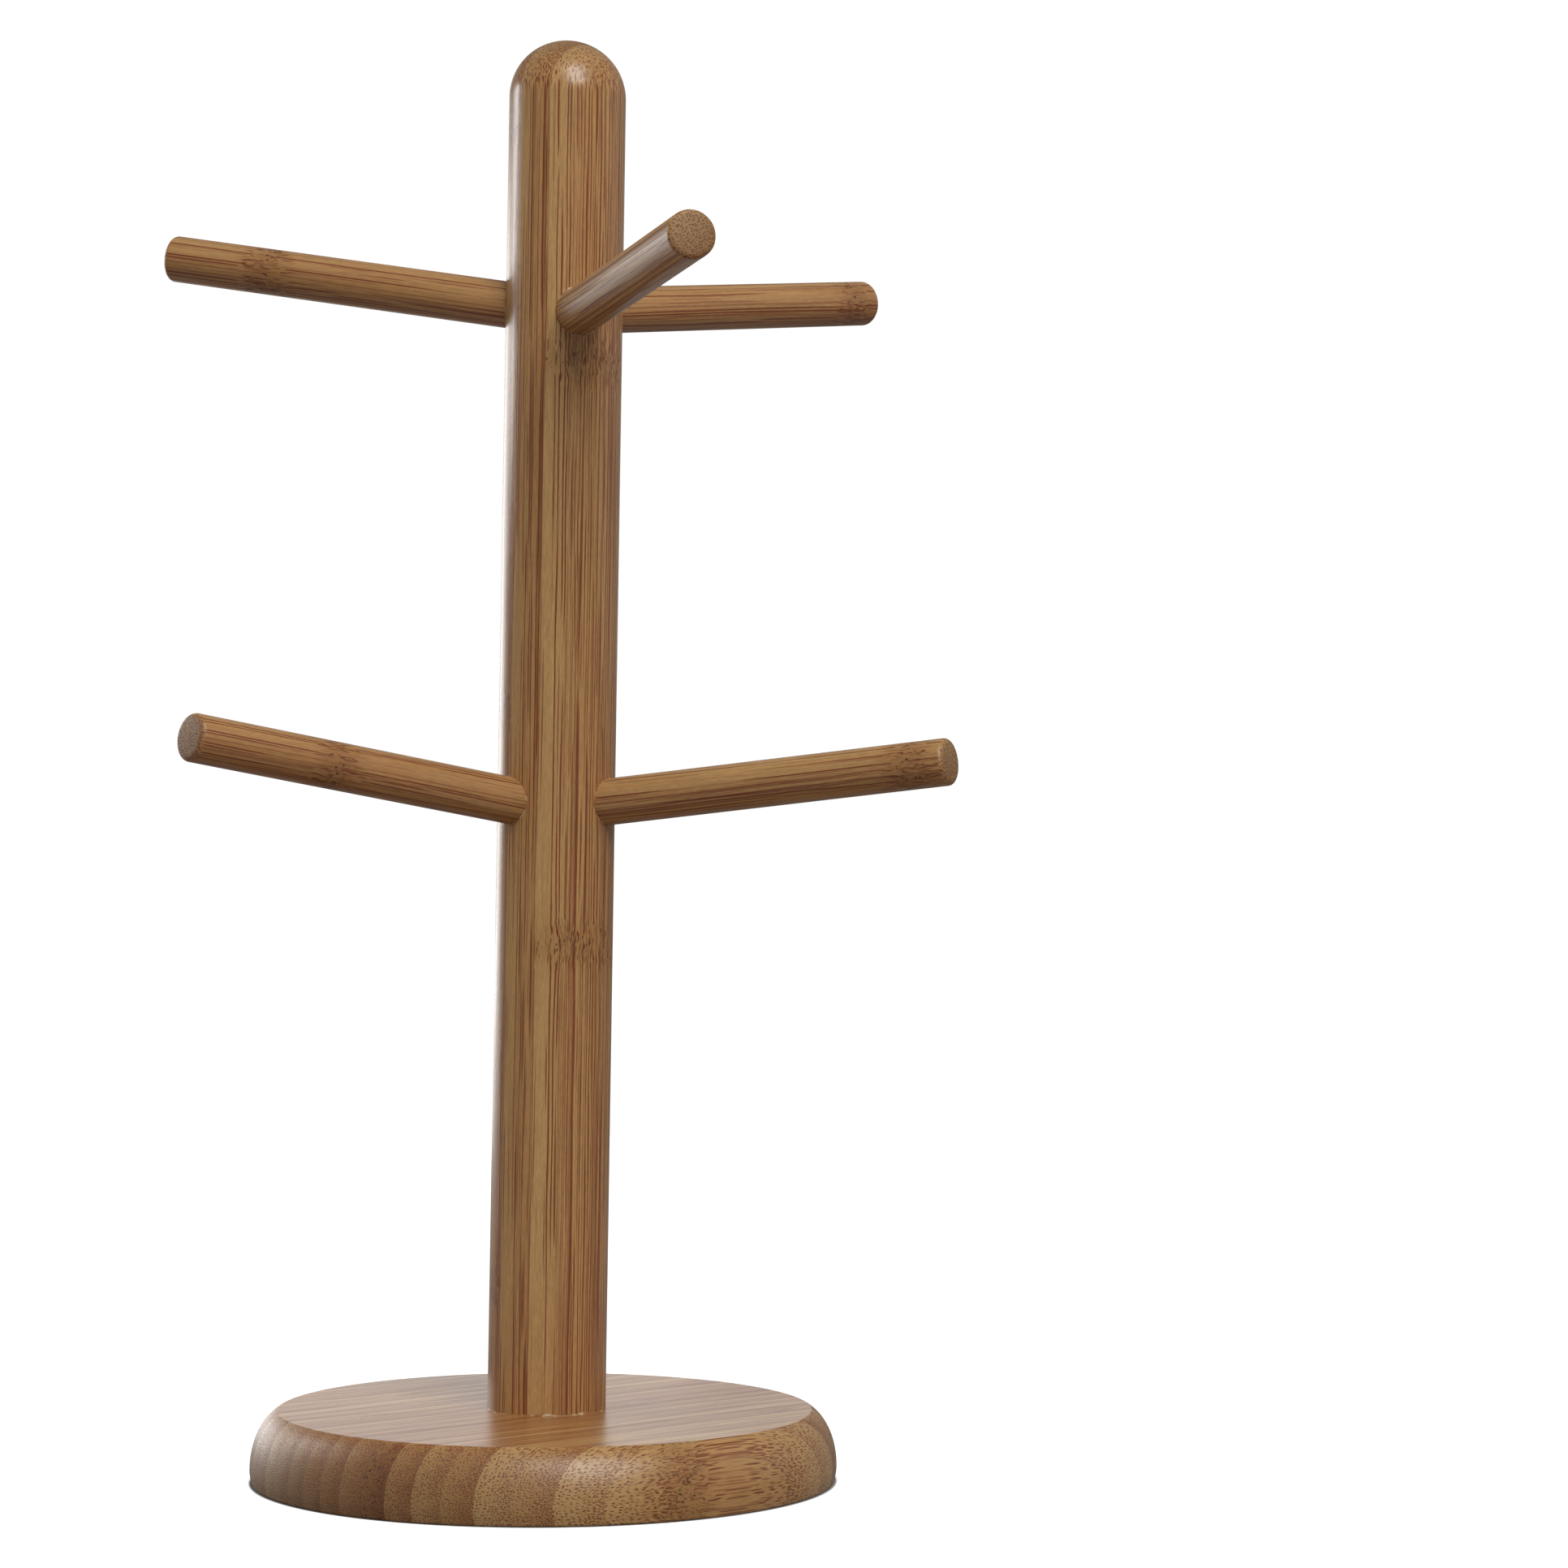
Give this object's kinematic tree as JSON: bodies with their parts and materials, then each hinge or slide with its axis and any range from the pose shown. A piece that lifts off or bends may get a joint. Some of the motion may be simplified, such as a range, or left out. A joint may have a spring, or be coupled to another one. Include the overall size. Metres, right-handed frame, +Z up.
{
  "type": "mug tree",
  "caption": "Free-standing mug tree: upward-tilted round pegs on a dome-topped post over a round board with a soft shoulder, in laminated bamboo.",
  "frame": {"origin": "centre of the board's underside, on the post's axis", "axes": "+Z up along the post, -Y towards the front peg of the upper tier, +X to its right as seen from the front"},
  "size_m": [0.1918, 0.2048, 0.3467],
  "materials": {
    "board_bamboo": "caramelised laminated bamboo, clear satin lacquer",
    "post_bamboo": "caramelised laminated bamboo, clear satin lacquer",
    "peg_bamboo": "caramelised bamboo dowel, clear satin lacquer",
    "zinc_steel": "zinc-plated steel"
  },
  "bodies": {
    "root": {"board": "board_bamboo", "post": "post_bamboo", "upper_front_peg": "peg_bamboo", "upper_right_peg": "peg_bamboo", "upper_left_peg": "peg_bamboo", "lower_left_peg": "peg_bamboo", "lower_right_peg": "peg_bamboo", "lower_rear_peg": "peg_bamboo", "post_screw": "zinc_steel"}
  },
  "joints": []
}
